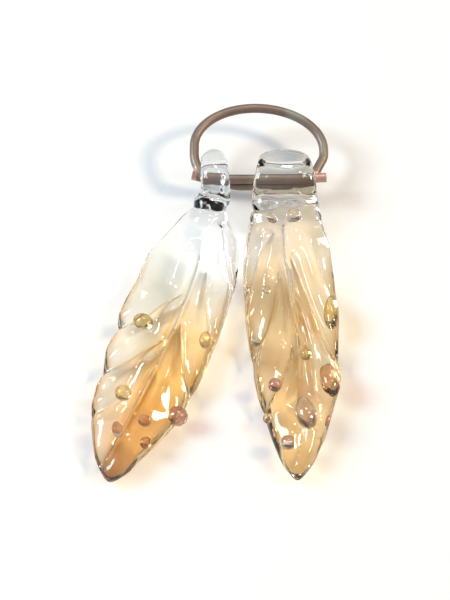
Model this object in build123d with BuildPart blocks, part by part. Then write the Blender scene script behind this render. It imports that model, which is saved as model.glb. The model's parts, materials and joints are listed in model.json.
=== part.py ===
import os
from math import hypot

from build123d import *

os.makedirs("parts", exist_ok=True)

# The ring: one copper wire, wound once around with its two ends side by side.
wire_radius = 0.725
strand_offset = 0.76
ring_half_width = 10.1
ring_shoulder_height = 5.6
ring_crown_rise = 6.85
ring_centre_x = 6.6
ring_tilt = 10

# The line both loop holes share, and the size of a loop.
hole_y = 18.14
hole_height = 4.4
loop_mid_radius = 3.15
loop_half_thickness = 1.25
hole_radius = 1.95

# Each finished piece moves this far in y, so that the whole part is centred on the origin.
centre_shift = 0.1718

# Centre, yaw of the blade and half width of the loop, for each wing.
left_hole_x = -0.48
left_yaw = -14.5
left_loop_half_width = 2.0
right_hole_x = 10.42
right_yaw = 2
right_loop_half_width = 4.3

# Each row: distance from the hole, left half width, right half width, crown height.
left_stations = [
    (2.6, 2.3, 2.3, 4.1),
    (6.0, 3.5, 4.5, 4.4),
    (10.5, 5.2, 6.8, 4.5),
    (14.5, 6.7, 7.5, 4.5),
    (20.0, 7.4, 7.9, 4.5),
    (25.0, 8.1, 7.5, 4.6),
    (28.2, 7.7, 7.3, 4.6),
    (32.0, 8.3, 7.0, 4.6),
    (36.0, 7.7, 6.4, 4.6),
    (40.0, 7.9, 5.3, 4.5),
    (44.0, 6.8, 3.4, 4.3),
    (48.0, 5.2, 1.2, 3.9),
    (50.4, 4.0, -0.1, 3.3),
    (51.5, 2.9, -1.0, 2.3),
]
right_stations = [
    (2.8, 4.3, 4.3, 4.1),
    (6.5, 5.7, 5.8, 4.5),
    (11.5, 6.7, 6.6, 4.6),
    (17.0, 7.0, 6.9, 4.6),
    (23.0, 7.0, 7.2, 4.6),
    (28.5, 6.6, 6.8, 4.6),
    (33.5, 6.1, 6.7, 4.6),
    (38.5, 5.1, 5.3, 4.5),
    (43.0, 3.8, 3.7, 4.2),
    (46.5, 2.8, 2.0, 3.6),
    (48.2, 2.0, 1.0, 3.0),
    (49.0, 1.3, 0.3, 2.2),
]
edge_height_share = 0.42
shoulder_share = 0.80
crown_fall = 0.36
underside = 0.12

# Tooled veins: (across, along) points, pressed in from the upper face.
left_veins = [
    [(0.9, 12.6), (1.4, 18.0), (-0.4, 35.5), (-3.1, 48.2)],
    [(0.4, 19.0), (-2.6, 23.4), (-8.6, 28.2)],
    [(-0.2, 28.0), (-2.8, 32.4), (-8.6, 36.2)],
    [(3.6, 8.6), (5.4, 13.0), (8.6, 18.6)],
    [(3.2, 16.4), (3.9, 20.4), (8.2, 28.2)],
    [(1.6, 26.6), (3.4, 31.4), (7.2, 36.4)],
]
right_veins = [
    [(-0.3, 7.6), (-0.45, 13.4), (0.65, 26.2), (0.3, 36.6)],
    [(0.0, 12.7), (2.0, 18.4), (7.6, 31.6)],
    [(3.7, 11.4), (5.2, 17.6), (7.9, 22.4)],
    [(0.2, 21.5), (2.4, 27.0), (3.0, 35.0)],
    [(-2.3, 9.8), (-4.6, 13.6), (-7.6, 20.8)],
    [(-1.8, 16.2), (-2.8, 23.6), (-6.9, 31.6)],
    [(-0.2, 28.4), (-2.1, 34.4), (-5.8, 39.8)],
]
vein_radius = 0.8
vein_lift = 0.25
vein_bend_radius = 4.0

# Fused drops: across, along, half width, half length, turn in degrees.
left_drops = [
    (-3.8, 26.6, 1.25, 1.55, 75),
    (5.7, 27.0, 0.9, 1.35, 5),
    (-3.4, 38.7, 1.2, 1.2, 0),
    (5.0, 39.7, 1.5, 1.5, 0),
    (0.8, 42.2, 0.9, 0.9, 0),
    (1.7, 45.1, 0.9, 0.9, 0),
    (-2.6, 44.4, 0.85, 1.3, 30),
]
right_drops = [
    (-2.1, 6.5, 0.9, 0.9, 0),
    (1.2, 6.4, 1.15, 1.15, 0),
    (-6.1, 18.9, 0.7, 0.7, 0),
    (-3.7, 19.1, 0.7, 0.7, 0),
    (-5.5, 27.6, 0.7, 0.7, 0),
    (5.9, 23.0, 1.15, 2.9, -4),
    (1.6, 30.5, 0.9, 0.9, 0),
    (-3.1, 35.1, 1.05, 1.05, 0),
    (4.9, 34.4, 1.5, 2.6, 8),
    (-4.3, 40.0, 0.8, 0.8, 0),
    (1.05, 39.8, 1.55, 2.65, 11),
    (-1.7, 44.2, 1.1, 1.1, 0),
]
drop_sink = 0.25

# The folded end of each loop: half width, half length, half thickness, centre distance.
left_tongue = (2.0, 2.7, 1.5, 3.2)
right_tongue = (4.3, 2.7, 1.4, 3.2)
tongue_height = 4.0


def ring_plane(offset):
    """The ring's plane, moved along its own normal."""
    base = Plane((ring_centre_x, hole_y, hole_height), x_dir=(1, 0, 0), z_dir=(0, 0, 1))
    return base.rotated((ring_tilt, 0, 0)).offset(offset)


def wing_plane(hole_x, yaw):
    """Table-level plane under a hole, with the wing running down its -y."""
    return Plane((hole_x, hole_y, 0)).rotated((0, 0, yaw))


def section_plane(wing, distance):
    """Upright plane across the wing at a distance from the hole."""
    return Plane(
        wing.from_local_coords((0, -distance, 0)), x_dir=wing.x_dir, z_dir=-wing.y_dir
    )


def surface_height(stations, across, distance):
    """Height of the crowned upper face."""
    low = max(s for s in stations if s[0] <= distance or s is stations[0])
    high = min(s for s in stations if s[0] > distance or s is stations[-1])
    blend = (distance - low[0]) / max(high[0] - low[0], 0.001)
    left, right, crown = (low[i] + blend * (high[i] - low[i]) for i in (1, 2, 3))
    middle = (right - left) / 2
    half = (right + left) / 2
    share = min(abs(across - middle) / half, 1)
    return crown * (1 - crown_fall * share**2)


def crowned_section(plane, left, right, crown):
    """Closed section: nearly flat underneath, crowned above, round edges."""
    middle = (right - left) / 2
    half = (right + left) / 2
    edge = edge_height_share * crown
    with BuildSketch(plane) as section:
        with BuildLine():
            Spline(
                (-left, edge),
                (middle - 0.65 * half, 0.35),
                (middle, underside),
                (middle + 0.65 * half, 0.35),
                (right, edge),
                (middle + 0.72 * half, shoulder_share * crown),
                (middle + 0.35 * half, 0.96 * crown),
                (middle, crown),
                (middle - 0.35 * half, 0.96 * crown),
                (middle - 0.72 * half, shoulder_share * crown),
                periodic=True,
            )
        make_face()
    return section.sketch


def vein(wing, stations, points):
    """Tool that presses one vein, rounded where it starts and where it bends."""
    path = [
        wing.from_local_coords((a, -d, surface_height(stations, a, d) + vein_lift))
        for a, d in points
    ]
    with BuildPart() as tool:
        with BuildLine() as run:
            FilletPolyline(*path, radius=vein_bend_radius)
        with BuildSketch(Plane(run.line @ 0, z_dir=run.line % 0)):
            Circle(vein_radius)
        sweep(path=run.line)
        with Locations(path[0]):
            Sphere(vein_radius)
    return tool.part


def oval_drop(wing, stations, drop):
    """A fused drop, round or long, seated in the upper face."""
    across, distance, half_width, half_length, turn = drop
    height = surface_height(stations, across, distance) - drop_sink * half_width
    seat = Plane(wing.from_local_coords((across, -distance, height)), x_dir=wing.x_dir)
    along = seat.rotated((0, 0, turn - 90))
    with BuildPart() as body:
        Sphere(half_width)
        if half_length > half_width:
            scale(by=(half_length / half_width, 1, 1))
    return body.part.moved(along.location)


def tongue_cap(wing, tongue):
    """The folded end laid down over the root of the blade."""
    half_width, half_length, half_thickness, distance = tongue
    centre = wing.from_local_coords((0, -distance, tongue_height))
    across = Plane(centre, x_dir=wing.x_dir, z_dir=-wing.y_dir)
    with BuildPart() as body:
        with BuildSketch(across.offset(-half_length)):
            Ellipse(0.6 * half_width, 0.5 * half_thickness)
        with BuildSketch(across.offset(-0.4 * half_length)):
            Ellipse(half_width, half_thickness)
        with BuildSketch(across.offset(0.5 * half_length)):
            Ellipse(0.86 * half_width, 0.8 * half_thickness)
        with BuildSketch(across.offset(half_length)):
            Ellipse(0.4 * half_width, 0.3 * half_thickness)
        loft()
    return body.part


def blade(wing, stations, veins, beads):
    """Wing blade with its veins pressed in and a seat for every drop."""
    sections = [
        crowned_section(section_plane(wing, distance), left, right, crown)
        for distance, left, right, crown in stations
    ]
    with BuildPart() as body:
        loft(sections)
        for bead in beads:
            add(bead, mode=Mode.SUBTRACT)
        for points in veins:
            add(vein(wing, stations, points), mode=Mode.SUBTRACT)
    return body.part


def loop(hole_x, half_width, wing, tongue, wing_blade, beads):
    """Hanging loop around its hole, with the end folded down onto the blade."""
    hole = Plane((hole_x, hole_y, hole_height), x_dir=(1, 0, 0), z_dir=(0, -1, 0))
    with BuildPart() as body:
        add(tongue_cap(wing, tongue))
        with BuildSketch(hole):
            with Locations((0, loop_mid_radius)):
                Ellipse(half_width, loop_half_thickness)
        revolve(axis=Axis(hole.origin, hole.x_dir))
        with Locations(Plane(hole.origin, z_dir=hole.x_dir)):
            Cylinder(hole_radius, 4 * half_width, mode=Mode.SUBTRACT)
        for bead in beads:
            add(bead, mode=Mode.SUBTRACT)
        add(wing_blade, mode=Mode.SUBTRACT)
    return body.part


def save(shape, label):
    placed = shape.moved(Location((0, centre_shift, 0)))
    placed.label = label
    export_step(placed, f"parts/{label}.step")


def ring_wire():
    """Left end, lower strand, right side, crown, left side, upper strand, right end."""
    low = ring_plane(-strand_offset)
    high = ring_plane(strand_offset)
    middle = ring_plane(0)
    crown_centre = middle.from_local_coords((0, ring_shoulder_height, 0))
    right_shoulder = low.from_local_coords((ring_half_width, ring_shoulder_height, 0))
    across = right_shoulder - crown_centre
    crown = Plane(crown_centre, x_dir=across, z_dir=across.cross(middle.y_dir))
    crown_half_width = hypot(ring_half_width, strand_offset)
    with BuildPart() as body:
        with BuildLine() as path:
            with BuildLine(low):
                FilletPolyline(
                    (-10.4, 1.3),
                    (-3.5, -0.5),
                    (4.5, -0.5),
                    (7.9, 0.15),
                    (ring_half_width, 4.4),
                    (ring_half_width, ring_shoulder_height),
                    radius=[8, 8, 2.8, 2.4],
                )
            with BuildLine(crown):
                EllipticalCenterArc(
                    (0, 0), crown_half_width, ring_crown_rise, start_angle=0, arc_size=180
                )
            with BuildLine(high):
                FilletPolyline(
                    (-ring_half_width, ring_shoulder_height),
                    (-ring_half_width, 3.2),
                    (-8.9, 0.35),
                    (-5.0, -0.05),
                    (5.5, -0.05),
                    (10.3, 0.25),
                    radius=[5, 2.2, 8, 8],
                )
        with BuildSketch(Plane(path.line @ 0, z_dir=path.line % 0)):
            Circle(wire_radius)
        sweep(path=path.line)
    return body.part


def wing(side, hole_x, yaw, half_width, stations, veins, drops, tongue):
    frame = wing_plane(hole_x, yaw)
    beads = [oval_drop(frame, stations, drop) for drop in drops]
    wing_blade = blade(frame, stations, veins, beads)
    save(wing_blade, f"{side}_wing_blade")
    save(
        loop(hole_x, half_width, frame, tongue, wing_blade, beads),
        f"{side}_wing_loop",
    )
    for number, bead in enumerate(beads, 1):
        save(bead, f"{side}_drop_{number}")


save(ring_wire(), "ring_wire")
wing(
    "left",
    left_hole_x,
    left_yaw,
    left_loop_half_width,
    left_stations,
    left_veins,
    left_drops,
    left_tongue,
)
wing(
    "right",
    right_hole_x,
    right_yaw,
    right_loop_half_width,
    right_stations,
    right_veins,
    right_drops,
    right_tongue,
)
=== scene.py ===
import json
import math

import bmesh
import bpy
import numpy as np
from mathutils import Matrix, Vector


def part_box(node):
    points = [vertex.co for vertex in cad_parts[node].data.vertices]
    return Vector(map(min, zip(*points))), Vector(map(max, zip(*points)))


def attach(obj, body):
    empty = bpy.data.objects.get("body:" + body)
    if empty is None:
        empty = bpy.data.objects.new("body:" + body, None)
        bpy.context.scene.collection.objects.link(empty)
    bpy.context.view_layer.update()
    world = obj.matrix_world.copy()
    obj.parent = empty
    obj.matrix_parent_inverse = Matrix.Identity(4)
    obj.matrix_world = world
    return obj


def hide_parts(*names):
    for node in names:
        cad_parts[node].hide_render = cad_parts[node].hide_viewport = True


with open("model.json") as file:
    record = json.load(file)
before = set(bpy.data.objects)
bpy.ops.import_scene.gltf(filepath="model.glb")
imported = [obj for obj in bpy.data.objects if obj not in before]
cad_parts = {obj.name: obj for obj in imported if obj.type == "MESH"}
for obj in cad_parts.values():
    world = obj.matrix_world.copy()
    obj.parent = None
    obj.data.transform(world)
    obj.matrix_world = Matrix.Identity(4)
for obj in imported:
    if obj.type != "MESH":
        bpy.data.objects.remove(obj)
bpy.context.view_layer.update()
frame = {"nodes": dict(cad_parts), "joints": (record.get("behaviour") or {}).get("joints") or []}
nodes = frame["nodes"]
jointPlace = {j["name"]: Vector(j["pos_m"]) * 1000 for j in frame["joints"]}
print("frame loaded")


# Curves and easing, in millimetres
def smoothStep(low, high, value):
    t = np.clip((value - low) / (high - low), 0.0, 1.0)
    return t * t * (3 - 2 * t)


def throughPoints(points, perSpan=14):
    # rounded run through a few given points
    p = [np.array(q, float) for q in points]
    p = [2 * p[0] - p[1]] + p + [2 * p[-1] - p[-2]]
    run = []
    for i in range(1, len(p) - 2):
        for k in range(perSpan):
            t = k / perSpan
            run.append(
                0.5
                * (
                    2 * p[i]
                    + (p[i + 1] - p[i - 1]) * t
                    + (2 * p[i - 1] - 5 * p[i] + 4 * p[i + 1] - p[i + 2]) * t**2
                    + (3 * p[i] - p[i - 1] - 3 * p[i + 1] + p[i + 2]) * t**3
                )
            )
    run.append(p[-2])
    return np.array(run)


def nearRun(across, along, run):
    # distance to a run, how far along it the nearest point lies (0 to 1), and the side of it
    best = np.full(len(across), 1e9)
    share = np.zeros(len(across))
    side = np.ones(len(across))
    for i in range(len(run) - 1):
        a, d = run[i], run[i + 1] - run[i]
        t = ((across - a[0]) * d[0] + (along - a[1]) * d[1]) / max(d @ d, 1e-9)
        t = np.clip(t, 0, 1)
        away = np.hypot(across - a[0] - t * d[0], along - a[1] - t * d[1])
        closer = away < best
        best = np.where(closer, away, best)
        share = np.where(closer, (i + t) / (len(run) - 1), share)
        turn = (across - a[0]) * d[1] - (along - a[1]) * d[0]
        side = np.where(closer, np.sign(turn), side)
    return best, share, side


def meshPoints(mesh):
    co = np.empty(len(mesh.vertices) * 3)
    mesh.vertices.foreach_get("co", co)
    return co.reshape(-1, 3)


def setPoints(mesh, co):
    mesh.vertices.foreach_set("co", co.astype(np.float32).ravel())
    mesh.update()


def newPiece(name, mesh, material, body, stands):
    piece = bpy.data.objects.new(name, mesh)
    bpy.context.scene.collection.objects.link(piece)
    mesh.materials.clear()
    mesh.materials.append(material)
    for face in mesh.polygons:
        face.use_smooth = True
    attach(piece, body)
    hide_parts(*stands)
    return piece


# Node helpers for the materials
def addNode(tree, kind, **values):
    node = tree.nodes.new(kind)
    for key, value in values.items():
        if key in node.inputs:
            node.inputs[key].default_value = value
        else:
            setattr(node, key, value)
    return node


def wingSpace(tree, place):
    # object coordinates in millimetres: x runs across a wing and y from its hole to its tip
    coords = addNode(tree, "ShaderNodeTexCoord")
    turn = addNode(tree, "ShaderNodeMapping", vector_type="TEXTURE")
    turn.inputs["Location"].default_value = place["hole"] * 0.001
    turn.inputs["Rotation"].default_value = (0, 0, math.radians(place["yaw"]))
    turn.inputs["Scale"].default_value = (0.001, -0.001, 0.001)
    tree.links.new(coords.outputs["Object"], turn.inputs["Vector"])
    return turn.outputs["Vector"]


def colourRamp(tree, factor, stops):
    ramp = addNode(tree, "ShaderNodeValToRGB")
    ramp.color_ramp.interpolation = "EASE"
    ramp.color_ramp.elements[0].position = stops[0][0]
    ramp.color_ramp.elements[0].color = (*stops[0][1], 1)
    ramp.color_ramp.elements[1].position = stops[-1][0]
    ramp.color_ramp.elements[1].color = (*stops[-1][1], 1)
    for position, colour in stops[1:-1]:
        ramp.color_ramp.elements.new(position).color = (*colour, 1)
    tree.links.new(factor, ramp.inputs["Fac"])
    return ramp.outputs["Color"]


def maths(tree, operation, first, second=None, clamp=False):
    node = addNode(tree, "ShaderNodeMath", operation=operation, use_clamp=clamp)
    for socket, value in zip(node.inputs, (first, second)):
        if value is None:
            continue
        if isinstance(value, (int, float)):
            socket.default_value = value
        else:
            tree.links.new(value, socket)
    return node.outputs[0]


def mixColour(tree, factor, first, second, blend="MIX"):
    node = addNode(tree, "ShaderNodeMix", data_type="RGBA", blend_type=blend)
    sockets = (node.inputs[0], node.inputs[6], node.inputs[7])
    for socket, value in zip(sockets, (factor, first, second)):
        if isinstance(value, (int, float)):
            socket.default_value = value
        elif isinstance(value, tuple):
            socket.default_value = (*value, 1)
        else:
            tree.links.new(value, socket)
    return node.outputs[2]


def freshMaterial(name):
    material = bpy.data.materials.new(name)
    material.use_nodes = True
    tree = material.node_tree
    tree.nodes.clear()
    return material, tree


def glassOutput(tree, colour, shade, normal=None, roughness=0.015, ior=1.5, extras=None):
    # rays of shade and of scattered light go straight through, tinted, to what lies under the glass
    glass = addNode(tree, "ShaderNodeBsdfPrincipled")
    glass.inputs["Transmission Weight"].default_value = 1.0
    glass.inputs["Roughness"].default_value = roughness
    glass.inputs["IOR"].default_value = ior
    for key, value in (extras or {}).items():
        glass.inputs[key].default_value = value
    tree.links.new(colour, glass.inputs["Base Color"])
    if normal is not None:
        tree.links.new(normal, glass.inputs["Normal"])
    through = addNode(tree, "ShaderNodeBsdfTransparent")
    tree.links.new(shade, through.inputs["Color"])
    light = addNode(tree, "ShaderNodeLightPath")
    surface = glass.outputs["BSDF"]
    for ray in ("Is Diffuse Ray", "Is Shadow Ray"):
        both = addNode(tree, "ShaderNodeMixShader")
        tree.links.new(light.outputs[ray], both.inputs["Fac"])
        tree.links.new(surface, both.inputs[1])
        tree.links.new(through.outputs["BSDF"], both.inputs[2])
        surface = both.outputs["Shader"]
    out = addNode(tree, "ShaderNodeOutputMaterial")
    tree.links.new(surface, out.inputs["Surface"])


def glassRipple(tree, strength, scale):
    coords = addNode(tree, "ShaderNodeTexCoord")
    noise = addNode(tree, "ShaderNodeTexNoise", Scale=scale, Detail=2.0, Roughness=0.5)
    tree.links.new(coords.outputs["Object"], noise.inputs["Vector"])
    bump = addNode(tree, "ShaderNodeBump", Strength=strength, Distance=0.0004)
    tree.links.new(noise.outputs["Fac"], bump.inputs["Height"])
    return bump.outputs["Normal"]


# Wings, in millimetres from the hole, across and along.
# stations: (along, left half width, right half width, crown height)
# veins: (points from root to tip, depth, width of the crease, width of the valley)
# tongue: (place, half sizes) of each ball of the folded end
# flare: (along, factor on the loop's width), no more than outerFlare on the left side
leftWing = {
    "side": "left",
    "body": "left_wing",
    "yaw": -14.5,
    "loopHalfWidth": 2.0,
    "stations": [
        (2.4, 1.8, 2.4, 3.9),
        (4.0, 2.2, 3.1, 4.2),
        (6.0, 3.4, 4.3, 4.3),
        (8.2, 4.4, 5.9, 4.4),
        (10.5, 5.3, 6.9, 4.5),
        (13.5, 6.7, 7.4, 4.5),
        (16.5, 7.1, 7.9, 4.5),
        (19.0, 7.2, 7.6, 4.5),
        (22.5, 7.9, 7.6, 4.5),
        (25.5, 8.15, 7.5, 4.6),
        (27.8, 7.6, 7.2, 4.6),
        (31.5, 8.3, 6.9, 4.6),
        (34.8, 7.7, 6.5, 4.6),
        (37.6, 7.9, 5.7, 4.6),
        (40.5, 7.8, 5.1, 4.5),
        (44.0, 6.8, 3.4, 4.3),
        (47.5, 5.4, 1.4, 4.0),
        (51.6, 3.4, -0.4, 3.4),
    ],
    "veins": [
        (
            [
                (1.0, 10.8), (1.3, 14.6), (1.2, 20.0), (0.5, 27.4),
                (-0.5, 35.5), (-1.9, 43.0), (-3.0, 49.0),
            ],
            2.0,
            0.60,
            1.9,
        ),
        ([(0.9, 19.6), (-1.4, 22.2), (-4.2, 25.6), (-8.6, 28.3)], 1.2, 0.5, 1.4),
        ([(0.2, 27.6), (-1.8, 30.4), (-4.4, 33.2), (-8.8, 36.4)], 1.2, 0.5, 1.4),
        ([(-0.9, 37.2), (-2.9, 39.2), (-4.6, 41.0), (-8.0, 43.0)], 0.7, 0.5, 1.2),
        ([(2.8, 6.2), (4.3, 9.6), (5.7, 13.6), (8.5, 18.4)], 1.3, 0.5, 1.3),
        ([(3.3, 15.6), (3.7, 18.0), (4.5, 21.8), (6.0, 25.6)], 1.2, 0.45, 1.3),
        ([(1.4, 24.6), (2.6, 28.6), (3.9, 32.4), (6.8, 37.0)], 1.5, 0.5, 1.5),
        ([(0.4, 31.0), (0.9, 35.4), (0.2, 40.6), (-0.2, 43.4)], 0.7, 0.4, 1.0),
    ],
    "tongue": [
        ((0.35, 4.1, 4.1), (2.45, 2.4, 2.1)),
        ((0.8, 3.6, 2.5), (2.0, 2.3, 2.1)),
        ((0.5, 6.4, 2.5), (3.1, 3.2, 2.4)),
    ],
    "outerFlare": 1.0,  # the ring's bend passes just outside this loop
    "flare": [(-4.5, 0.86), (-2.0, 1.0), (0.0, 1.15), (4.5, 1.4)],
    "wobble": 3.1,
}
rightWing = {
    "side": "right",
    "body": "right_wing",
    "yaw": 2.0,
    "loopHalfWidth": 4.3,
    "stations": [
        (1.6, 4.1, 4.1, 3.6),
        (4.0, 5.0, 5.0, 4.2),
        (6.5, 5.8, 5.7, 4.5),
        (9.0, 6.3, 6.2, 4.6),
        (11.5, 6.75, 6.6, 4.6),
        (15.0, 6.95, 6.8, 4.6),
        (19.0, 7.05, 6.9, 4.6),
        (23.0, 7.0, 7.25, 4.6),
        (26.0, 6.8, 6.9, 4.6),
        (29.0, 6.5, 6.7, 4.6),
        (33.5, 6.1, 6.75, 4.6),
        (36.0, 5.7, 6.1, 4.6),
        (38.5, 5.1, 5.3, 4.5),
        (43.0, 3.9, 3.8, 4.3),
        (46.0, 2.9, 2.3, 3.9),
        (49.2, 1.7, 0.7, 3.3),
    ],
    "veins": [
        (
            [
                (-0.1, 2.4), (-0.35, 8.0), (-0.4, 13.4), (0.0, 19.6),
                (0.6, 25.0), (0.7, 29.0), (0.3, 37.0),
            ],
            1.9,
            0.50,
            1.7,
        ),
        (
            [(-0.2, 12.0), (0.9, 14.6), (1.9, 18.4), (3.4, 23.6), (5.0, 28.4), (7.4, 32.0)],
            1.6,
            0.5,
            1.5,
        ),
        ([(3.5, 10.6), (4.4, 13.8), (5.4, 18.2), (7.6, 22.6)], 0.6, 0.45, 1.2),
        ([(0.3, 21.6), (1.4, 25.2), (2.1, 30.0), (2.7, 36.6)], 1.2, 0.45, 1.3),
        ([(-1.9, 8.6), (-3.3, 11.0), (-4.9, 14.2), (-7.4, 21.0)], 0.8, 0.45, 1.3),
        ([(-1.7, 15.6), (-2.2, 20.4), (-3.5, 25.0), (-6.9, 32.2)], 1.3, 0.5, 1.5),
        ([(-0.1, 28.2), (-1.0, 31.6), (-2.7, 35.4), (-5.8, 40.4)], 1.2, 0.5, 1.4),
        ([(0.6, 41.8), (0.4, 43.6), (-0.4, 46.4)], 0.6, 0.45, 1.2),
    ],
    "tongue": [
        ((-2.6, 3.8, 4.0), (2.5, 2.2, 1.9)),
        ((0.9, 3.6, 4.0), (2.1, 2.3, 1.9)),
        ((0.1, 3.2, 2.3), (5.3, 2.8, 2.2)),
        ((0.0, 5.6, 2.5), (5.6, 3.6, 2.4)),
    ],
    "flare": [(-4.5, 0.84), (-2.0, 0.94), (0.0, 1.04), (4.5, 1.24)],
    "outerFlare": 2.0,
    "wobble": 0.7,
}
# The loop and the bore that stays clear for the wire
loopForm = {
    "midRadius": 3.15,
    "halfThickness": 1.25,
    "farStretch": 1.17,
    "bore": 1.93,
    "mouth": 0.4,
    "mouthReach": (0.55, 1.05),
    "segments": 40,
    "steps": 72,
}
# The blade before its veins are pressed in, and the mesh that fuses blade, loop and tongue
bladeForm = {
    "edgeShare": 0.42,
    "tipRound": 3.2,
    "rootRound": 1.2,
    "foot": 0.06,
    "around": 72,
    "lengthwise": 150,
    "voxel": 0.17,
    "relax": 5,
}
# How a vein is pressed in: fades are shares of its run, the step and the lobe lie beside it
veinForm = {
    "fadeIn": (-0.02, 0.14),
    "fadeOut": (0.7, 1.0),
    "endLoss": 0.3,
    "crease": 0.62,
    "valley": 0.38,
    "stepHeight": 0.30,
    "stepWidth": 0.35,
    "stepReach": 1.3,
    "lobeAway": 1.3,
    "lobeWidth": 0.75,
}
# How far veins, lobes and ripples move the surface
relief = {
    "bladeStart": (4.8, 7.4),
    "faceTurn": (-0.1, 0.5),
    "lobe": 0.30,
    "ripple": 0.08,
    "fineRipple": 0.03,
    "veinBelow": 0.36,
    "rippleBelow": 0.6,
    "edgeTurn": 0.6,
    "edgePull": 0.25,
    "pullDepth": 0.9,
    "pullSpread": 0.2,
    "lowest": 0.02,
}
# Marks on the glass: its thickness, the light it gathers beneath it, and the painted shade at its
# rims and beside its veins
marking = {
    "bladeStart": (4.0, 7.0),
    "deepVein": 1.4,
    "thickRange": (0.35, 0.65),
    "thickVein": 0.22,
    "thickStep": 0.12,
    "thickLobe": 0.06,
    "gatherBase": 1.06,
    "gatherLoop": 0.94,
    "gatherLobe": 0.34,
    "gatherVein": 0.60,
    "gatherStep": 0.5,
    "gatherRim": 0.22,
    "rimShadeAcross": (0.74, 0.97),
    "rimShadeAlong": (9.0, 20.0),
    "veinShade": 0.7,
    "veinShadeDepth": 0.75,
    "veinShadeSpread": 0.03,
    "veinShadeAlong": (14.0, 24.0),
}


def wingMatrix(wing):
    hole = jointPlace[f"{wing['side']}_wing_swing"]
    wing["hole"] = Vector((hole.x, hole.y, 0))
    wing["holeHeight"] = hole.z
    turn = Matrix.Rotation(math.radians(wing["yaw"]), 4, "Z")
    return Matrix.Translation(wing["hole"]) @ turn @ Matrix.Diagonal((1, -1, 1, 1))


def stationRow(wing, along):
    rows = np.array(wing["stations"])
    return [float(np.interp(along, rows[:, 0], rows[:, c])) for c in (1, 2, 3)]


def addBlade(bm, wing, place):
    # a ball drawn out into a leaf: its poles are the root and the tip
    ball = bmesh.ops.create_uvsphere(
        bm, u_segments=bladeForm["around"], v_segments=bladeForm["lengthwise"], radius=1
    )
    start, end = wing["stations"][0][0], wing["stations"][-1][0]
    tip, root = bladeForm["tipRound"], bladeForm["rootRound"]
    for v in ball["verts"]:
        x, y, z = v.co
        ring = math.hypot(x, y)
        along = start + (end - start) * (1 - z) / 2
        left, right, crown = stationRow(wing, along)
        toTip = max(0.0, (along - (end - tip)) / tip)
        toRoot = max(0.0, ((start + root) - along) / root)
        full = math.sqrt(max(0.0, 1 - toTip**2)) * math.sqrt(max(0.0, 1 - toRoot**2))
        if ring < 1e-6:
            full, ring = 0.0, 1.0
        middle, half = (right - left) / 2, (right + left) / 2 * full
        edge = bladeForm["edgeShare"] * crown
        up = y / ring
        rise = (crown - edge) if up > 0 else edge - bladeForm["foot"]
        v.co = place @ Vector((middle + half * x / ring, along, edge + rise * up * full))


def addLoop(bm, wing):
    # round strap turned about the hole
    centre = Vector((wing["hole"].x, wing["hole"].y, wing["holeHeight"]))
    strap = bmesh.ops.create_circle(bm, segments=loopForm["segments"], radius=1)
    for v in strap["verts"]:
        x, y, z = v.co
        v.co = (
            wing["loopHalfWidth"] * x,
            0,
            loopForm["midRadius"] + loopForm["halfThickness"] * y,
        )
    edges = list({e for v in strap["verts"] for e in v.link_edges})
    bmesh.ops.spin(
        bm,
        geom=strap["verts"] + edges,
        cent=(0, 0, 0),
        axis=(1, 0, 0),
        dvec=(0, 0, 0),
        angle=2 * math.pi,
        steps=loopForm["steps"],
        use_merge=True,
    )
    around = {v for v in strap["verts"] if v.is_valid}
    grown = set(around)
    while around:
        around = {e.other_vert(v) for v in around for e in v.link_edges} - grown
        grown |= around
    for v in grown:
        flare = float(np.interp(-v.co.y, *zip(*wing["flare"])))
        if v.co.x < 0:
            flare = min(flare, wing["outerFlare"])
        stretch = loopForm["farStretch"] if v.co.y > 0 else 1.0
        v.co = Vector((v.co.x * flare, v.co.y * stretch, v.co.z))
        v.co = v.co + centre


def addTongue(bm, wing, place):
    for (u, w, z), (a, b, c) in wing["tongue"]:
        ball = bmesh.ops.create_uvsphere(bm, u_segments=32, v_segments=24, radius=1)
        for v in ball["verts"]:
            v.co = place @ Vector((u + a * v.co.x, w + b * v.co.y, max(0.05, z + c * v.co.z)))


def pressedIn(wing, across, along):
    # crease depth, the step from one side of a vein to the other, and the swell of the lobes
    depth = np.zeros(len(across))
    step = np.zeros(len(across))
    swell = np.zeros(len(across))
    for points, deep, narrow, wide in wing["veins"]:
        away, share, side = nearRun(across, along, throughPoints(points))
        fade = smoothStep(*veinForm["fadeIn"], share)
        fade = fade * (1 - veinForm["endLoss"] * smoothStep(*veinForm["fadeOut"], share))
        crease = np.exp(-away / narrow)
        valley = np.exp(-((away / wide) ** 2))
        pressed = veinForm["crease"] * crease + veinForm["valley"] * valley
        depth = np.maximum(depth, deep * fade * pressed)
        lift = veinForm["stepHeight"] * deep * fade * np.tanh(side * away / veinForm["stepWidth"])
        step += lift * np.exp(-away / (veinForm["stepReach"] * wide))
        lobe = (away - veinForm["lobeAway"] * wide) / (veinForm["lobeWidth"] * wide)
        swell = np.maximum(swell, fade * np.exp(-(lobe**2)))
    return depth, step, swell


def localPoints(mesh, place, scale=1.0):
    back = np.array(place.inverted())
    return meshPoints(mesh) * scale @ back[:3, :3].T + back[:3, 3]


def worldPoints(mesh, place, local):
    ahead = np.array(place)
    setPoints(mesh, local @ ahead[:3, :3].T + ahead[:3, 3])


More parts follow.
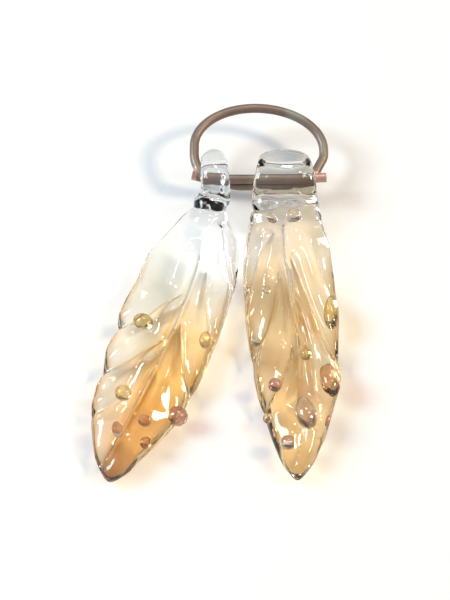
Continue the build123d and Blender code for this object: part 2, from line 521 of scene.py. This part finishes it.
def sculptWing(mesh, wing, place):
    normals = np.array([v.normal[:] for v in mesh.vertices])
    u, w, z = localPoints(mesh, place).T
    depth, step, swell = pressedIn(wing, u, w)
    blade = smoothStep(*relief["bladeStart"], w)
    top = smoothStep(*relief["faceTurn"], normals[:, 2])
    below = smoothStep(*relief["faceTurn"], -normals[:, 2])
    phase = wing["wobble"]
    # slow waves across and along the blade, as its glass was pulled
    waves = np.sin(0.9 * u + 0.45 * w + phase) * np.sin(0.35 * w - 0.6 * u + phase)
    ripple = relief["ripple"] * waves
    ripple += relief["fineRipple"] * np.sin(1.7 * u - 0.8 * w + 2 * phase)
    z = z - blade * top * (depth - step - relief["lobe"] * swell - ripple)
    z = z + blade * below * (relief["veinBelow"] * depth + relief["rippleBelow"] * ripple)
    # the outline draws in where a vein runs out over the edge
    edge = np.abs(normals[:, 2]) < relief["edgeTurn"]
    reach = np.exp(-((depth - relief["pullDepth"]) ** 2) / relief["pullSpread"])
    pull = blade * edge * relief["edgePull"] * reach
    u = u - np.sign(u - leafMiddle(wing, w)) * pull
    worldPoints(mesh, place, np.column_stack([u, w, np.maximum(z, relief["lowest"])]))


def leafMiddle(wing, along):
    rows = np.array(wing["stations"])
    return np.interp(along, rows[:, 0], (rows[:, 2] - rows[:, 1]) / 2)


def clearBore(mesh, wing, place):
    # nothing of the glass comes nearer to the hole's axis than the bore, which opens at its mouths
    u, w, z = localPoints(mesh, place).T
    rise = z - wing["holeHeight"]
    reach = np.maximum(np.hypot(w, rise), 1e-6)
    inner, outer = (share * wing["loopHalfWidth"] for share in loopForm["mouthReach"])
    bore = loopForm["bore"] + loopForm["mouth"] * smoothStep(inner, outer, np.abs(u))
    grow = np.where(reach < bore, bore / reach, 1.0)
    worldPoints(mesh, place, np.column_stack([u, w * grow, wing["holeHeight"] + rise * grow]))


def markGlass(mesh, wing, place):
    # how thick the glass is at each point, how much light its shape gathers beneath it, and where
    # painted shade darkens its rims and the banks beside its veins
    u, w, z = localPoints(mesh, place).T
    depth, step, swell = pressedIn(wing, u, w)
    rows = np.array(wing["stations"])
    half = np.interp(w, rows[:, 0], (rows[:, 1] + rows[:, 2]) / 2)
    across = np.clip((u - leafMiddle(wing, w)) / half, -1, 1)
    blade = smoothStep(*marking["bladeStart"], w)
    vein = depth / marking["deepVein"]
    thick = np.sqrt(np.maximum(0.02, 1 - across**2)) - marking["thickVein"] * depth
    thick = thick + marking["thickStep"] * step + marking["thickLobe"] * swell
    least, spread = marking["thickRange"]
    thick = least + spread * np.clip(thick, 0.1, 1.3)
    gather = marking["gatherBase"] + marking["gatherLobe"] * swell
    gather = gather - marking["gatherVein"] * np.clip(vein, 0, 1) + marking["gatherStep"] * step
    # painted shade: a darker amber at the rims and along the banks beside the veins, standing for
    # the dark lines that refraction shows there
    rimShade = smoothStep(*marking["rimShadeAcross"], np.abs(across)) * smoothStep(*marking["rimShadeAlong"], w)
    besideShade = np.exp(-((vein - marking["veinShadeDepth"]) ** 2) / marking["veinShadeSpread"])
    besideShade = marking["veinShade"] * besideShade * smoothStep(*marking["veinShadeAlong"], w)
    rimShade = np.maximum(rimShade, besideShade)
    gather -= marking["gatherRim"] * rimShade
    loop = marking["gatherLoop"]
    marks = {"thick": 1 + blade * (thick - 1), "gather": loop + blade * (gather - loop), "rimShade": rimShade}
    for name, values in marks.items():
        layer = mesh.attributes.new(name, "FLOAT", "POINT")
        layer.data.foreach_set("value", values.astype(np.float32))


def relaxed(mesh, rounds):
    bm = bmesh.new()
    bm.from_mesh(mesh)
    for _ in range(rounds):
        bmesh.ops.smooth_vert(
            bm, verts=bm.verts, factor=0.5, use_axis_x=True, use_axis_y=True, use_axis_z=True
        )
    bmesh.ops.recalc_face_normals(bm, faces=bm.faces)
    bm.to_mesh(mesh)
    bm.free()


def fusedWing(wing):
    place = wingMatrix(wing)
    bm = bmesh.new()
    addBlade(bm, wing, place)
    addLoop(bm, wing)
    addTongue(bm, wing, place)
    bmesh.ops.recalc_face_normals(bm, faces=bm.faces)
    rough = bpy.data.meshes.new("rough")
    bm.to_mesh(rough)
    bm.free()
    holder = bpy.data.objects.new("holder", rough)
    bpy.context.scene.collection.objects.link(holder)
    skin = holder.modifiers.new("skin", "REMESH")
    skin.mode = "VOXEL"
    skin.voxel_size = bladeForm["voxel"]
    skin.adaptivity = 0.0
    ready = holder.evaluated_get(bpy.context.evaluated_depsgraph_get())
    mesh = bpy.data.meshes.new_from_object(ready)
    bpy.data.objects.remove(holder)
    mesh.name = f"{wing['side']}Wing"
    relaxed(mesh, bladeForm["relax"])
    sculptWing(mesh, wing, place)
    relaxed(mesh, 1)
    clearBore(mesh, wing, place)
    markGlass(mesh, wing, place)
    mesh.transform(Matrix.Scale(0.001, 4))
    return mesh


# Wing glass: how the light that gets through is tinted, from the hole (0) to the tip (1).
# lobe: the paler side past lobeEdge, as far along as lobeReach
# glow streaks: painted glows of light gathered inside the glass, each (place, half sizes, turn in
# degrees, colour)
# the rim colour is painted shade, laid on the rims and beside the veins
leftTint = {
    "length": 52.0,
    "stops": [
        (0.0, (0.88, 0.90, 0.90)),
        (0.22, (0.88, 0.91, 0.93)),
        (0.38, (0.86, 0.81, 0.68)),
        (0.52, (0.84, 0.66, 0.38)),
        (0.68, (0.79, 0.50, 0.20)),
        (0.86, (0.76, 0.46, 0.18)),
        (1.0, (0.58, 0.33, 0.15)),
    ],
    "lobe": (1.0, 1.0, 0.93),
    "lobeReach": 1.62,
    "lobeEdge": -1.5,
    "rimShade": (0.74, 0.42, 0.14),
    "drift": 0.12,
    "paintedGlows": [((1.9, 35.6), (0.85, 3.6), 8, (1.0, 0.66, 0.20))],
}
rightTint = {
    "length": 50.0,
    "stops": [
        (0.0, (0.82, 0.82, 0.80)),
        (0.16, (0.76, 0.69, 0.59)),
        (0.36, (0.73, 0.58, 0.37)),
        (0.55, (0.76, 0.60, 0.38)),
        (0.75, (0.84, 0.65, 0.38)),
        (1.0, (0.78, 0.57, 0.31)),
    ],
    "lobe": (0.77, 0.68, 0.52),
    "lobeReach": 1.35,
    "lobeEdge": 1.2,
    "rimShade": (0.74, 0.45, 0.17),
    "drift": 0.10,
    "paintedGlows": [((1.0, 24.5), (0.5, 2.6), 6, (1.0, 0.62, 0.16))],
}


tintMix = {
    "driftScale": 0.13,
    "lobeSlope": 0.33,
    "lobeFade": 1.35,
    "rimShadeTint": 0.7,
    "rimShadeDepth": 0.9,
    "bodyDepth": 0.80,
    "shadeDepth": 0.36,
    "ripple": 0.10,
    "rippleScale": 130.0,
}


def gammaOf(tree, colour, power):
    node = addNode(tree, "ShaderNodeGamma")
    tree.links.new(colour, node.inputs["Color"])
    if isinstance(power, float):
        node.inputs["Gamma"].default_value = power
    else:
        tree.links.new(power, node.inputs["Gamma"])
    return node.outputs["Color"]


def attributeOf(tree, name):
    return addNode(tree, "ShaderNodeAttribute", attribute_name=name).outputs["Fac"]


def glowMask(tree, space, centre, size, turn):
    # soft oval patch, long way along the wing, for a painted glow
    place = addNode(tree, "ShaderNodeMapping", vector_type="TEXTURE")
    place.inputs["Location"].default_value = (*centre, 0)
    place.inputs["Rotation"].default_value = (0, 0, math.radians(turn))
    place.inputs["Scale"].default_value = (*size, 1000.0)
    tree.links.new(space, place.inputs["Vector"])
    away = addNode(tree, "ShaderNodeVectorMath", operation="LENGTH")
    tree.links.new(place.outputs["Vector"], away.inputs[0])
    return maths(tree, "SUBTRACT", 1.0, away.outputs["Value"], clamp=True)


def wingGlass(wing, tint):
    material, tree = freshMaterial(f"{wing['side']}WingGlass")
    space = wingSpace(tree, wing)
    split = addNode(tree, "ShaderNodeSeparateXYZ")
    tree.links.new(space, split.inputs["Vector"])
    drift = addNode(
        tree, "ShaderNodeTexNoise", Scale=tintMix["driftScale"], Detail=3.0, Roughness=0.55
    )
    tree.links.new(space, drift.inputs["Vector"])
    wander = maths(tree, "SUBTRACT", drift.outputs["Fac"], 0.5)
    wander = maths(tree, "MULTIPLY", wander, tint["drift"] * 2)
    along = maths(tree, "DIVIDE", split.outputs["Y"], tint["length"])
    along = maths(tree, "ADD", along, wander, clamp=True)
    colour = colourRamp(tree, along, tint["stops"])
    # one side of each wing keeps less of the amber
    towards = -1.0 if tint["lobeEdge"] < 0 else 1.0
    beyond = maths(tree, "SUBTRACT", split.outputs["X"], tint["lobeEdge"])
    beyond = maths(tree, "MULTIPLY", beyond, towards)
    side = maths(tree, "MULTIPLY", beyond, tintMix["lobeSlope"], clamp=True)
    faded = maths(tree, "MULTIPLY", along, tintMix["lobeFade"])
    early = maths(tree, "SUBTRACT", tint["lobeReach"], faded, clamp=True)
    colour = mixColour(tree, maths(tree, "MULTIPLY", side, early), colour, tint["lobe"])
    # painted glow: bright amber patches standing for light gathered inside the glass
    for centre, size, turn, glowColour in tint["paintedGlows"]:
        colour = mixColour(tree, glowMask(tree, space, centre, size, turn), colour, glowColour)
    # painted shade: the rims and vein banks take the darker rim colour and a deeper amber
    rimShade = attributeOf(tree, "rimShade")
    colour = mixColour(tree, maths(tree, "MULTIPLY", rimShade, tintMix["rimShadeTint"]), colour, tint["rimShade"])
    rimShadeDepth = maths(tree, "MULTIPLY", rimShade, tintMix["rimShadeDepth"])
    deep = maths(tree, "ADD", attributeOf(tree, "thick"), rimShadeDepth)
    body = gammaOf(tree, colour, maths(tree, "MULTIPLY", deep, tintMix["bodyDepth"]))
    shade = gammaOf(tree, colour, tintMix["shadeDepth"])
    shade = mixColour(tree, 1.0, shade, attributeOf(tree, "gather"), "MULTIPLY")
    glassOutput(tree, body, shade, glassRipple(tree, tintMix["ripple"], tintMix["rippleScale"]))
    return material


# Drops: tints are light and dark, film is the thin film's thickness in nanometres, 0 for none
dropGlass = {
    "honey": {"tint": ((0.92, 0.84, 0.56), (0.82, 0.64, 0.30)), "roughness": 0.02, "film": 0.0},
    "clear": {"tint": ((0.95, 0.93, 0.90), (0.86, 0.74, 0.62)), "roughness": 0.01, "film": 0.0},
    "violet": {"tint": ((0.80, 0.56, 0.66), (0.58, 0.34, 0.40)), "roughness": 0.05, "film": 430.0},
    "pearl": {"tint": ((0.70, 0.66, 0.68), (0.50, 0.40, 0.42)), "roughness": 0.07, "film": 310.0},
    "brown": {"tint": ((0.82, 0.62, 0.46), (0.66, 0.42, 0.28)), "roughness": 0.03, "film": 0.0},
}
# (node, glass, shape, turn in degrees)
leftDrops = [
    ("left_drop_1", "honey", "oval", 75),
    ("left_drop_2", "honey", "oval", 5),
    ("left_drop_3", "honey", "round", 0),
    ("left_drop_4", "violet", "round", 0),
    ("left_drop_5", "brown", "round", 0),
    ("left_drop_6", "brown", "round", 0),
    ("left_drop_7", "brown", "pear", 30),
]
rightDrops = [
    ("right_drop_1", "clear", "round", 0),
    ("right_drop_2", "clear", "round", 0),
    ("right_drop_3", "clear", "round", 0),
    ("right_drop_4", "clear", "round", 0),
    ("right_drop_5", "clear", "round", 0),
    ("right_drop_6", "honey", "oval", -4),
    ("right_drop_7", "honey", "round", 0),
    ("right_drop_8", "violet", "round", 0),
    ("right_drop_9", "brown", "oval", 8),
    ("right_drop_10", "clear", "round", 0),
    ("right_drop_11", "pearl", "pear", 11),
    ("right_drop_12", "pearl", "round", 0),
]
# half width and half length of the drops that aren't round
longDrops = {
    "left_drop_1": (1.25, 1.55),
    "left_drop_2": (0.9, 1.35),
    "left_drop_7": (0.85, 1.3),
    "right_drop_6": (1.15, 2.9),
    "right_drop_9": (1.5, 2.6),
    "right_drop_11": (1.55, 2.65),
}


dropForm = {"taper": 0.28, "sunk": 0.8, "around": 40, "rings": 28, "swirl": 420.0}


def dropMaterial(name, recipe):
    material, tree = freshMaterial(f"{name}DropGlass")
    coords = addNode(tree, "ShaderNodeTexCoord")
    swirl = addNode(
        tree, "ShaderNodeTexNoise", Scale=dropForm["swirl"], Detail=2.0, Distortion=0.6
    )
    tree.links.new(coords.outputs["Object"], swirl.inputs["Vector"])
    light, dark = recipe["tint"]
    colour = colourRamp(tree, swirl.outputs["Fac"], [(0.35, light), (0.7, dark)])
    extras = {"Coat Weight": 0.4, "Coat Roughness": 0.02} if recipe["film"] else {}
    if recipe["film"]:
        extras["Thin Film Thickness"] = recipe["film"]
        extras["Thin Film IOR"] = 1.65
    glassOutput(tree, colour, colour, roughness=recipe["roughness"], ior=1.52, extras=extras)
    return material


def addDrop(entry, wing, materials):
    node, glass, shape, turn = entry
    low, high = (c * 1000 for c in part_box(node))
    centre = (low + high) / 2
    halfWidth, halfLength = longDrops.get(node, ((high.z - low.z) / 2,) * 2)
    spin = Matrix.Rotation(math.radians(wing["yaw"] + turn), 4, "Z")
    bm = bmesh.new()
    ball = bmesh.ops.create_uvsphere(
        bm, u_segments=dropForm["around"], v_segments=dropForm["rings"], radius=1
    )
    for v in ball["verts"]:
        x, y, z = v.co
        taper = 1.0 - (dropForm["taper"] * max(0.0, y) if shape == "pear" else 0.0)
        if z < 0:
            z *= dropForm["sunk"]
        v.co = Vector((halfWidth * x * taper, halfLength * y, halfWidth * z * taper))
        v.co = spin @ v.co + centre
    mesh = bpy.data.meshes.new(node)
    bmesh.ops.recalc_face_normals(bm, faces=bm.faces)
    bm.to_mesh(mesh)
    bm.free()
    mesh.transform(Matrix.Scale(0.001, 4))
    side, number = node.split("_drop_")
    newPiece(f"{side}DewDrop{number}", mesh, materials[glass], wing["body"], [node])


for wing, tint in ((leftWing, leftTint), (rightWing, rightTint)):
    side = wing["side"]
    mesh = fusedWing(wing)
    newPiece(
        f"{side}WingFused",
        mesh,
        wingGlass(wing, tint),
        wing["body"],
        [f"{side}_wing_blade", f"{side}_wing_loop"],
    )
    print(f"{side} wing fused: {len(mesh.vertices)} points")
dropMaterials = {name: dropMaterial(name, recipe) for name, recipe in dropGlass.items()}
for wing, drops in ((leftWing, leftDrops), (rightWing, rightDrops)):
    for entry in drops:
        addDrop(entry, wing, dropMaterials)
print("drops set")

# Ring wire: dark oxidised copper with green-grey patches, bare at the two cut ends
ringFinish = {
    "brown": (0.27, 0.195, 0.155),
    "darkBrown": (0.17, 0.12, 0.095),
    "patina": (0.29, 0.29, 0.235),
    "bareCopper": (0.56, 0.33, 0.27),
    "leftBare": 1.05,
    "rightBare": 2.5,
    "endReach": 0.0027,
    "patches": 0.75,
    "metallic": 0.45,
}


def copperMaterial():
    material, tree = freshMaterial("oxidisedCopper")
    low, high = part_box("ring_wire")
    coords = addNode(tree, "ShaderNodeTexCoord")
    place = coords.outputs["Object"]
    blotch = addNode(tree, "ShaderNodeTexNoise", Scale=260.0, Detail=5.0, Roughness=0.6)
    fine = addNode(tree, "ShaderNodeTexNoise", Scale=1600.0, Detail=4.0, Roughness=0.65)
    patch = addNode(tree, "ShaderNodeTexNoise", Scale=120.0, Detail=3.0, Roughness=0.5)
    for texture in (blotch, fine, patch):
        tree.links.new(place, texture.inputs["Vector"])
    colour = mixColour(tree, blotch.outputs["Fac"], ringFinish["darkBrown"], ringFinish["brown"])
    green = colourRamp(tree, patch.outputs["Fac"], [(0.5, (0, 0, 0)), (0.66, (1, 1, 1))])
    green = maths(tree, "MULTIPLY", green, ringFinish["patches"])
    colour = mixColour(tree, green, colour, ringFinish["patina"])
    split = addNode(tree, "ShaderNodeSeparateXYZ")
    tree.links.new(place, split.inputs["Vector"])
    near = maths(tree, "LESS_THAN", split.outputs["Y"], low.y + ringFinish["endReach"])
    rightEnd = high.x - ringFinish["rightBare"] * 0.001
    leftEnd = low.x + ringFinish["leftBare"] * 0.001
    right = maths(tree, "GREATER_THAN", split.outputs["X"], rightEnd)
    left = maths(tree, "LESS_THAN", split.outputs["X"], leftEnd)
    bare = maths(tree, "MULTIPLY", near, maths(tree, "ADD", right, left, clamp=True))
    colour = mixColour(tree, bare, colour, ringFinish["bareCopper"])
    metal = addNode(tree, "ShaderNodeBsdfPrincipled")
    metal.inputs["Metallic"].default_value = ringFinish["metallic"]
    tree.links.new(colour, metal.inputs["Base Color"])
    rough = maths(tree, "ADD", maths(tree, "MULTIPLY", fine.outputs["Fac"], 0.25), 0.3)
    tree.links.new(rough, metal.inputs["Roughness"])
    bump = addNode(tree, "ShaderNodeBump", Strength=0.25, Distance=0.00006)
    tree.links.new(fine.outputs["Fac"], bump.inputs["Height"])
    tree.links.new(bump.outputs["Normal"], metal.inputs["Normal"])
    out = addNode(tree, "ShaderNodeOutputMaterial")
    tree.links.new(metal.outputs["BSDF"], out.inputs["Surface"])
    return material


ring = nodes["ring_wire"]
ring.data.materials.clear()
ring.data.materials.append(copperMaterial())
print("ring finished")

# Floor: white paper with a slight tooth
paper = {"size": 0.7, "below": 0.00003, "white": (0.94, 0.94, 0.945), "tooth": 0.35}


def addFloor():
    bm = bmesh.new()
    bmesh.ops.create_grid(bm, x_segments=1, y_segments=1, size=paper["size"])
    mesh = bpy.data.meshes.new("floor")
    bm.to_mesh(mesh)
    bm.free()
    floor = bpy.data.objects.new("floor", mesh)
    floor.location.z = -paper["below"]
    bpy.context.scene.collection.objects.link(floor)
    material, tree = freshMaterial("whitePaper")
    sheet = addNode(tree, "ShaderNodeBsdfPrincipled", Roughness=0.85)
    sheet.inputs["Base Color"].default_value = (*paper["white"], 1)
    sheet.inputs["Specular IOR Level"].default_value = 0.2
    coords = addNode(tree, "ShaderNodeTexCoord")
    tooth = addNode(tree, "ShaderNodeTexNoise", Scale=900.0, Detail=6.0, Roughness=0.6)
    tree.links.new(coords.outputs["Object"], tooth.inputs["Vector"])
    bump = addNode(tree, "ShaderNodeBump", Strength=paper["tooth"], Distance=0.0002)
    tree.links.new(tooth.outputs["Fac"], bump.inputs["Height"])
    tree.links.new(bump.outputs["Normal"], sheet.inputs["Normal"])
    out = addNode(tree, "ShaderNodeOutputMaterial")
    tree.links.new(sheet.outputs["BSDF"], out.inputs["Surface"])
    mesh.materials.append(material)


addFloor()

# Lights: warm from the right, cool from the left, soft from above
lamps = {
    "warmKey": {
        "at": (0.42, -0.02, 0.36),
        "size": 0.10,
        "power": 1.75,
        "colour": (1.0, 0.78, 0.55),
    },
    "coolSide": {
        "at": (-0.42, 0.06, 0.34),
        "size": 0.22,
        "power": 2.35,
        "colour": (0.78, 0.92, 1.0),
    },
    "overhead": {
        "at": (0.05, 0.30, 0.55),
        "size": 0.11,
        "power": 0.8,
        "colour": (1.0, 1.0, 1.0),
        "glint": True,
    },
    "window": {
        "at": (0.22, 0.10, 0.60),
        "size": 0.05,
        "power": 0.35,
        "colour": (1.0, 0.97, 0.93),
        "glint": True,
    },
}
# strength of the world on the paper, through glass, and where the camera sees it
roomGlow = {"onPaper": 0.40, "inGlass": 0.72, "behind": 0.96, "colour": (0.97, 0.98, 1.0)}


def addLamp(name, lamp):
    data = bpy.data.lights.new(name, "AREA")
    data.size = lamp["size"]
    data.energy = lamp["power"]
    data.color = lamp["colour"]
    light = bpy.data.objects.new(name, data)
    light.location = lamp["at"]
    # a glint lamp only shows in the gloss of the glass and the wire
    light.visible_diffuse = light.visible_transmission = not lamp.get("glint", False)
    light.rotation_euler = (-Vector(lamp["at"])).to_track_quat("-Z", "Y").to_euler()
    bpy.context.scene.collection.objects.link(light)


for name, lamp in lamps.items():
    addLamp(name, lamp)
world = bpy.data.worlds.new("softRoom")
world.use_nodes = True
room = world.node_tree
glow = room.nodes["Background"]
glow.inputs["Color"].default_value = (*roomGlow["colour"], 1)
path = room.nodes.new("ShaderNodeLightPath")
strength = None
for ray, level in (("Is Transmission Ray", "inGlass"), ("Is Camera Ray", "behind")):
    more = maths(room, "MULTIPLY", path.outputs[ray], roomGlow[level] - roomGlow["onPaper"])
    strength = more if strength is None else maths(room, "ADD", strength, more)
strength = maths(room, "ADD", strength, roomGlow["onPaper"])
room.links.new(strength, glow.inputs["Strength"])
bpy.context.scene.world = world
bpy.context.scene.view_settings.view_transform = "Standard"

# Camera: above and in front, sixty degrees up
view = {"elevation": 60, "distance": 0.26, "lens": 104, "aim": (0.00127, -0.00189, 0.0025)}
cameraData = bpy.data.cameras.new("camera")
cameraData.lens = view["lens"]
cameraData.sensor_width = 36
cameraData.clip_start, cameraData.clip_end = 0.01, 10
camera = bpy.data.objects.new("camera", cameraData)
lift = math.radians(view["elevation"])
back = Vector((0, -math.cos(lift), math.sin(lift)))
camera.location = Vector(view["aim"]) + back * view["distance"]
camera.rotation_euler = (-back).to_track_quat("-Z", "Y").to_euler()
bpy.context.scene.collection.objects.link(camera)
bpy.context.scene.camera = camera
print("stage ready")
